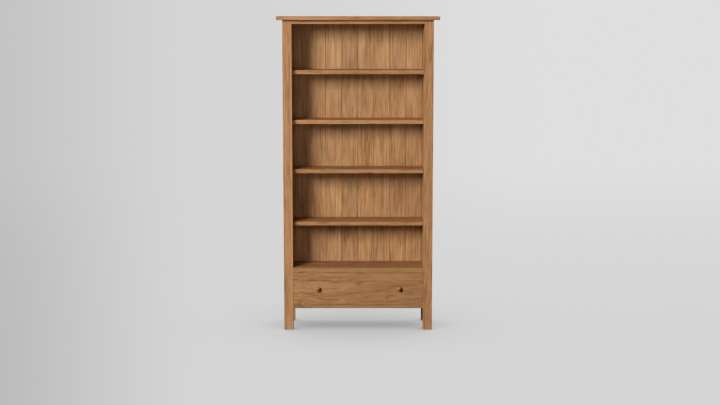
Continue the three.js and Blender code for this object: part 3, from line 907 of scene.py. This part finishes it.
def add_back():
    """The boards, with painted light high up and a painted shadow at the top of the lowest bay."""
    for i, (offset, lean, tone, streak) in enumerate(BACK_CUTS):
        node = f"back_board_{i + 1}"
        board = back_board(node, i == len(BACK_CUTS) - 1)
        x, y, _ = spread(node)
        # Painted light high up, a darker streak half way up, and a painted shadow under the lowest loose
        # shelf
        marks = [
            mark((middle(x), y[0], 1.62), (1.0, 1.0, 0.3), dark=-0.06),
            mark((middle(x), y[0], 1.0), (0.06, 0.1, 0.25), dark=streak),
            mark((middle(x), y[0], 0.585), (1.0, 1.0, 0.06), dark=0.14),
        ]
        wood = wood_of_board(
            node, "Z", (*offset, 0.37 * i), lean, tone, BACK_OAK,
            figure=0.6, drift=0.6, contrast=1.12, run=2.0, knots=marks,
        )
        fit(board, node, "case", wood)


# The shelves, from the top: heart, lean and tone
SHELF_CUTS = {
    "shelf_1": ((0.2, 0.02, -0.09), (0.5, 0.8), 0.99),
    "shelf_2": ((0.9, -0.04, 0.10), (-0.6, 0.4), 1.19),
    "shelf_3": ((0.5, 0.05, 0.07), (0.4, -0.7), 0.97),
    "shelf_4": ((1.3, 0.0, -0.08), (-0.4, 0.6), 1.01),
}


def painted_shelf_shade(node):
    """Painted shade on a shelf's faces, which are a little darker than its front edge."""
    y, z = spread(node)[1:]
    return mark((0, y[1], middle(z)), (3.0, width(y), 0.3), dark=0.14)


def add_shelves():
    """The loose shelves, and the fixed one, whose ends are let into the side panels."""
    for node, (offset, lean, tone) in SHELF_CUTS.items():
        shelf = plank(node, *spread(node))
        finish_faces(shelf)
        wood = wood_of_board(node, "X", offset, lean, tone, knots=[painted_shelf_shade(node)])
        fit(shelf, node, "loose_" + node, wood)

    y, z = spread("bottom_shelf")[1:]
    shelf = plank("bottom_shelf", [-INSIDE, INSIDE], y, z, arris=SMALL_ARRIS)
    carve(shelf, [block("end", *shelf_housing(side)) for _, side in SIDES], "UNION")
    finish_faces(shelf)
    wood = wood_of_board("bottom_shelf", "X", (0.1, 0.03, -0.1), (0.5, 0.5), knots=[painted_shelf_shade("bottom_shelf")])
    fit(shelf, "bottom_shelf", "case", wood)


def pin_outline(length, head):
    """A shank that goes into the hole and a thicker head with a rounded end, head its radius."""
    shank = length - PIN_HEAD_LENGTH
    return [
        (0, 0),
        (PIN_SHANK_RADIUS - PIN_CHAMFER, 0),
        (PIN_SHANK_RADIUS, PIN_CHAMFER),
        (PIN_SHANK_RADIUS, shank),
        (head - PIN_HEAD_CHAMFER, shank),
        (head, shank + PIN_HEAD_CHAMFER),
        *arc((head - PIN_ROUNDING, length - PIN_ROUNDING), (PIN_ROUNDING,) * 2, 0, 90, PIN_ROUNDING_STEPS),
        (0, length),
    ]


def add_pins(steel):
    """Plain steel pins that the loose shelves rest on."""
    for shelf in SHELVES:
        for label, side in SIDES:
            for row in ("front", "rear"):
                node = f"shelf_{shelf}_{row}_{label}_pin"
                x, y, z = spread(node)
                pin = turned(node, pin_outline(width(x), width(z) / 2), PIN_STEPS)
                outer = x[0] if side < 0 else x[1]
                place(pin, (outer, middle(y), middle(z)), (0, -side * math.pi / 2, 0))
                finish_faces(pin)
                fit(pin, node, "case", steel)


def add_drawer_bay():
    """The runners that carry the drawer and the stops behind its front."""
    for label, _ in SIDES:
        for kind, along, offset in (("runner", "Y", (0.05, 0.4, 0.03)), ("stop", "X", (0.3, 0.05, 0.04))):
            node = f"{label}_drawer_{kind}"
            part = plank(node, *spread(node), arris=SMALL_ARRIS)
            finish_faces(part)
            wood = wood_of_board(node, along, offset, (1, 0.5), 1.0, BARE_OAK)
            fit(part, node, "case", wood)


def knob_outline(length, radius):
    """Foot, hollow neck, the rounded underside of the head and its domed face. The neck's hollow is a
    parabola that is thinnest at the waist."""
    cove = []
    for i in range(KNOB_CURVE_STEPS + 1):
        t = i / KNOB_CURVE_STEPS
        bend = 2 * KNOB_WAIST_RADIUS - KNOB_FOOT_RADIUS
        r = (1 - t) ** 2 * KNOB_FOOT_RADIUS + 2 * t * (1 - t) * bend + t * t * KNOB_FOOT_RADIUS
        cove.append((r, KNOB_FOOT_HEIGHT + t * (KNOB_COVE_HEIGHT - KNOB_FOOT_HEIGHT)))
    under = arc(
        (KNOB_FOOT_RADIUS, KNOB_RIM_HEIGHT),
        (radius - KNOB_FOOT_RADIUS, KNOB_RIM_HEIGHT - KNOB_COVE_HEIGHT), -90, 0, KNOB_CURVE_STEPS,
    )
    face = arc((0, KNOB_RIM_HEIGHT), (radius, length - KNOB_RIM_HEIGHT), 0, 90, KNOB_FACE_STEPS)
    foot = [(0, 0), (KNOB_FOOT_RADIUS - KNOB_FOOT_CHAMFER, 0), (KNOB_FOOT_RADIUS, KNOB_FOOT_CHAMFER)]
    return [*foot, *cove, *under[1:], *face[1:-1], (0, length)]


def screw_outline(length, head):
    """A pointed shank and a low domed head, head its radius."""
    under = length - SCREW_HEAD_HEIGHT
    rim = under + SCREW_HEAD_RIM
    dome = arc((0, rim), (head, SCREW_HEAD_DOME), 0, 90, SCREW_DOME_STEPS)
    return [
        (0, 0),
        (SCREW_RADIUS, SCREW_POINT),
        (SCREW_RADIUS, under),
        (head, under),
        (head, rim),
        *dome[1:-1],
        (0, length),
    ]


def tail_blocks(x, low, pitch, front, lap, gap):
    """Dovetail wedges at a drawer corner, as blocks whose front ends are spread."""
    blocks = []
    for i in range(TAIL_COUNT):
        centre = low + (i + 0.5) * pitch
        root = pitch * TAIL_SHARE / 2 + gap
        tail = block("tail", *grow([x, [lap, front]], gap), [centre - root, centre + root])
        select_faces(tail, lambda c, n: n.y < -SQUARELY)
        factor = (root + TAIL_FLARE) / root
        bpy.ops.transform.resize(value=(1, 1, factor), center_override=(middle(x), lap, centre))
        bpy.ops.object.mode_set(mode="OBJECT")
        blocks.append(tail)
    return blocks


def add_drawer_box(front_wood):
    """The front, with lapped dovetails to the sides and a groove for the bottom, and the box behind."""
    x, y, z = spread("drawer_front")
    rear = y[1]
    bottom = spread("drawer_bottom")

    # The tails end short of the front's face, and share the height of the sides
    lap = y[0] + TAIL_LAP
    side_z = spread("left_drawer_side")[2]
    low = max(side_z[0], z[0])
    pitch = (side_z[1] - low) / TAIL_COUNT

    front = plank("drawer_front", x, y, z, arris=SMALL_ARRIS)
    cutters = grown_blocks("groove", [bottom])
    for label, _ in SIDES:
        cutters += tail_blocks(spread(f"{label}_drawer_side")[0], low, pitch, rear, lap, GLUE_GAP)
        shank = spread(f"{label}_knob_screw")
        hole = (middle(shank[0]), middle(y), middle(shank[2]))
        cutters.append(drill("Y", hole, SCREW_RADIUS + SCREW_CLEARANCE, width(y) + 2 * MM))
    carve(front, cutters)
    finish_faces(front)
    fit(front, "drawer_front", "drawer", front_wood)

    for label, side in SIDES:
        node = f"{label}_drawer_side"
        side_x, side_y, side_z = spread(node)
        board = plank(node, side_x, [rear, side_y[1]], side_z, arris=SMALL_ARRIS)
        carve(board, tail_blocks(side_x, low, pitch, rear, lap, 0.0), "UNION")
        carve(board, grown_blocks("groove", [bottom, spread("drawer_back")]))
        finish_faces(board)
        wood = wood_of_board(node, "Y", (side * 0.06, 0.2, 0.05), (0.8, 0.6), 1.0, BARE_OAK)
        fit(board, node, "drawer", wood)

    # The drawer's bottom is made paler, as painted light inside the shaded box
    for node, offset, tone in (
        ("drawer_back", (0.4, 0.07, 0.03), 1.0),
        ("drawer_bottom", (0.8, 0.02, -0.2), 1.2),
        ("drawer_catch", (0.2, 0.05, 0.03), 0.95),
    ):
        part = plank(node, *spread(node), arris=SMALL_ARRIS)
        finish_faces(part)
        fit(part, node, "drawer", wood_of_board(node, "X", offset, (0.5, 0.7), tone, BARE_OAK))


def add_knobs(steel):
    """The turned knobs, with painted shade in their necks, and the crosshead screw behind each."""
    for label, _ in SIDES:
        node = f"{label}_knob"
        x, y, z = spread(node)
        knob = turned(node, knob_outline(width(y), width(x) / 2), KNOB_STEPS)
        place(knob, (middle(x), y[1], middle(z)), (math.pi / 2, 0, 0))
        finish_faces(knob)
        # Painted shade in the knob's neck, under its head
        neck = mark((middle(x), y[1] - KNOB_WAIST_HEIGHT, middle(z)), (0.03, 0.016, 0.03), dark=0.5)
        wood = wood_of_board(node, "X", (0.1, 0.05, 0.04), (2, 3), 1.3, drift=0.0, knots=[neck])
        fit(knob, node, "drawer", wood)

        node = f"{label}_knob_screw"
        x, y, z = spread(node)
        length = width(y)
        screw = turned(node, screw_outline(length, width(x) / 2), PIN_STEPS)
        depth = [length - SCREW_SLOT_DEPTH, length + MM]
        wide, narrow = ([-size / 2, size / 2] for size in (SCREW_SLOT_LENGTH, SCREW_SLOT_WIDTH))
        slots = [block("slot", wide, narrow, depth), block("slot", narrow, wide, depth)]
        for slot in slots:
            carve(screw, [slot])
        place(screw, (middle(x), y[0], middle(z)), (-math.pi / 2, 0, 0))
        finish_faces(screw)
        fit(screw, node, "drawer", steel)


bpy.context.scene.view_settings.view_transform = "Standard"
add_camera()
bowl = add_bowl()
light_room()
add_softbox("key_softbox", KEY_BOX, [bowl])
add_softbox("rear_softbox", REAR_BOX, [bowl])
add_softbox("side_softbox", SIDE_BOX, [bowl])

steel = plated_steel()
front_wood = wood_of_board(
    "drawer_front", "X", (0.35, 0.11, 0.02), (-1.6, 1.2), 1.08,
    contrast=0.62, drift=0.2, knots=DRAWER_FRONT_MARKS,
)
add_case(front_wood)
add_side_panels()
add_back()
add_shelves()
add_pins(steel)
add_drawer_bay()
add_drawer_box(front_wood)
add_knobs(steel)

# The box beside the camera leaves out what the photograph shows darker
flagged = ["drawer_front", "left_knob", "right_knob", "drawer_top_rail", "plinth_rail"]
flagged += ["rear_left_post", "rear_right_post"]
flagged = [bowl] + [bpy.data.objects["finished_" + node] for node in flagged]
add_softbox("front_softbox", FRONT_BOX, flagged, WARM)
